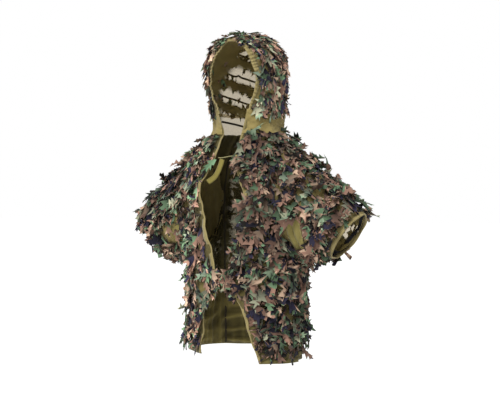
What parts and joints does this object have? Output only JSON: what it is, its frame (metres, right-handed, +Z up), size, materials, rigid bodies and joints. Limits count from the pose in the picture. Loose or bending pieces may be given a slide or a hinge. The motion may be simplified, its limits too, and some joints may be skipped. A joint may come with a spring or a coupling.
{
  "type": "hooded ghillie jacket",
  "caption": "Hooded net camouflage jacket with short wide sleeves, an open front and rows of leaf-cut cloth sewn on straps.",
  "frame": {"origin": "the middle of the neck seam, where the jacket hangs on the wearer", "axes": "+Z up, the wearer faces -Y, +X to the wearer's left arm"},
  "size_m": [0.9196, 0.3318, 1.1219],
  "materials": {
    "net_cloth": "open polyester net, matt",
    "dark_webbing": "woven strap, matt",
    "leaf_cloth": "light printed woodland cloth with cut edges",
    "olive_tape": "woven binding tape with stitching",
    "black_elastic": "ribbed elastic band",
    "tie_cord": "twisted cord"
  },
  "bodies": {
    "jacket": {"back_panel": "net_cloth", "back_webbing": "dark_webbing", "back_leaf_rows": "leaf_cloth", "back_hem_tape": "olive_tape", "left_front_panel": "net_cloth", "left_front_tape": "olive_tape", "left_front_webbing": "dark_webbing", "left_front_leaf_rows": "leaf_cloth", "right_front_panel": "net_cloth", "right_front_tape": "olive_tape", "right_front_webbing": "dark_webbing", "right_front_leaf_rows": "leaf_cloth", "neck_band": "olive_tape", "throat_tie_cord": "tie_cord"},
    "hood": {"hood_crown": "net_cloth", "hood_left_side": "net_cloth", "hood_right_side": "net_cloth", "hood_face_tape": "olive_tape", "hood_webbing": "dark_webbing", "hood_leaf_rows": "leaf_cloth"},
    "left_sleeve": {"left_sleeve_panel": "net_cloth", "left_cuff_tape": "olive_tape", "left_cuff_elastic": "black_elastic", "left_sleeve_webbing": "dark_webbing", "left_sleeve_leaf_rows": "leaf_cloth", "left_underarm_patch": "olive_tape"},
    "right_sleeve": {"right_sleeve_panel": "net_cloth", "right_cuff_tape": "olive_tape", "right_cuff_elastic": "black_elastic", "right_sleeve_webbing": "dark_webbing", "right_sleeve_leaf_rows": "leaf_cloth", "right_underarm_patch": "olive_tape"},
    "left_flap": {"left_flap_panel": "net_cloth", "left_flap_tape": "olive_tape", "left_flap_webbing": "dark_webbing", "left_flap_leaf_rows": "leaf_cloth"},
    "right_flap": {"right_flap_panel": "net_cloth", "right_flap_tape": "olive_tape", "right_flap_webbing": "dark_webbing", "right_flap_leaf_rows": "leaf_cloth"},
    "throat_tab": {"throat_tab": "olive_tape"}
  },
  "joints": [
    {"name": "hood_tilt", "type": "hinge", "parent": "jacket", "child": "hood", "pos_m": [0, 0, 0.02], "axis": [-1, 0, 0], "range_deg": [-12, 20], "deforming": ["neck_band"]},
    {"name": "left_sleeve_raise", "type": "hinge", "parent": "jacket", "child": "left_sleeve", "pos_m": [0.178, -0.02, -0.028], "axis": [0, -1, 0], "range_deg": [0, 22]},
    {"name": "right_sleeve_raise", "type": "hinge", "parent": "jacket", "child": "right_sleeve", "pos_m": [-0.178, -0.02, -0.028], "axis": [0, 1, 0], "range_deg": [0, 22]},
    {"name": "left_flap_open", "type": "hinge", "parent": "jacket", "child": "left_flap", "pos_m": [0.2165, -0.028, -0.6], "axis": [0, 0, 1], "range_deg": [0, 45]},
    {"name": "right_flap_open", "type": "hinge", "parent": "jacket", "child": "right_flap", "pos_m": [-0.2165, -0.028, -0.6], "axis": [0, 0, -1], "range_deg": [0, 45]},
    {"name": "throat_tab_swing", "type": "hinge", "parent": "jacket", "child": "throat_tab", "pos_m": [-0.018, -0.15, -0.103], "axis": [-1, 0, 0], "range_deg": [-20, 45]}
  ]
}
